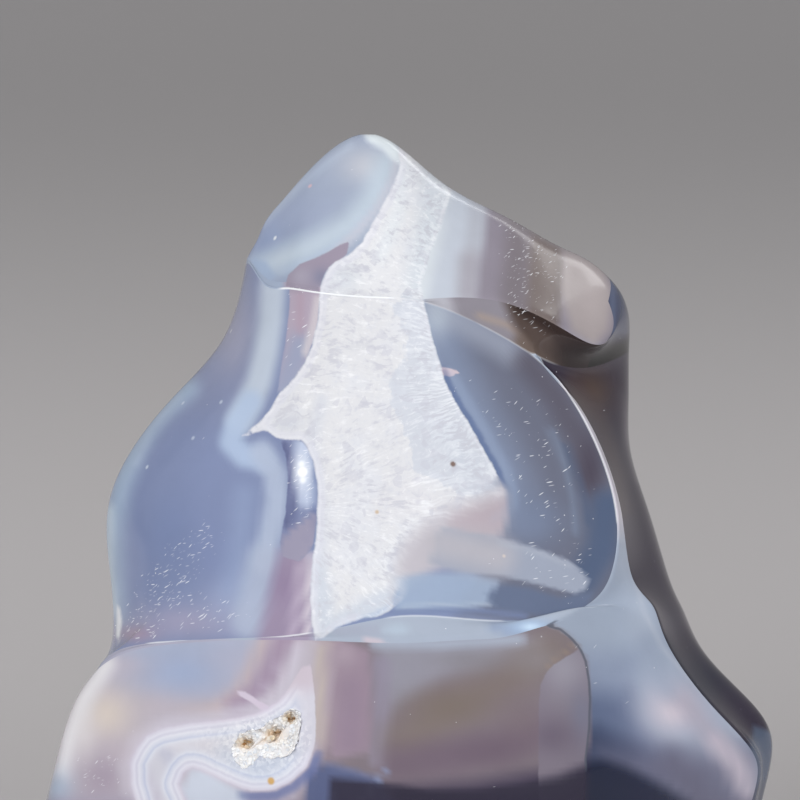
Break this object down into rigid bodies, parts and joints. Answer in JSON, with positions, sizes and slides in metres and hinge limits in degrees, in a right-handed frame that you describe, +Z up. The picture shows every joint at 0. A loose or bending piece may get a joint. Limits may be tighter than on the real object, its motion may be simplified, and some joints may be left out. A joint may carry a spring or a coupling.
{
  "type": "polished chalcedony flame",
  "caption": "Polished freeform flame of blue-grey chalcedony with a white quartz vein and a small crystal-lined vug, standing on a flat ground foot.",
  "frame": {"origin": "on the flat foot, under the middle of the stone, where it stands on its surface", "axes": "+Z up from the foot to the tip, and the front face with the vein and the vug looks along -Y"},
  "size_m": [0.073, 0.0497, 0.0766],
  "materials": {
    "polished_chalcedony": "polished",
    "drusy_quartz": "crystalline"
  },
  "bodies": {
    "root": {"stone": "polished_chalcedony", "vug_crystals": "drusy_quartz"}
  },
  "joints": []
}
